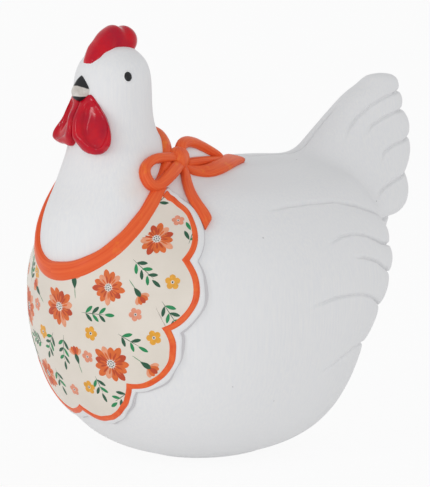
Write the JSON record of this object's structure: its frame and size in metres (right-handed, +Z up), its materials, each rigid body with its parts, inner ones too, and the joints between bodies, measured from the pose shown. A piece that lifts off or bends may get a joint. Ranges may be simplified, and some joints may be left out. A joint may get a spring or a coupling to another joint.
{
  "type": "hen figurine",
  "caption": "Plump standing hen figurine cast in one piece, with a scalloped bib in low relief, a strap tied in a bow at the nape, and ridged wing and tail feathers; rests on a flat base.",
  "frame": {"origin": "centre of the flat face that the hen stands on", "axes": "+Z up, the hen faces -Y and its left side is +X"},
  "size_m": [0.145, 0.2205, 0.201],
  "materials": {
    "white_paint": "matte",
    "cream_print": "satin",
    "red_enamel": "gloss",
    "orange_enamel": "satin",
    "black_paint": "satin",
    "horn_paint": "satin",
    "print_inks": "satin"
  },
  "bodies": {
    "root": {"hen_figurine": "white_paint"}
  },
  "joints": []
}
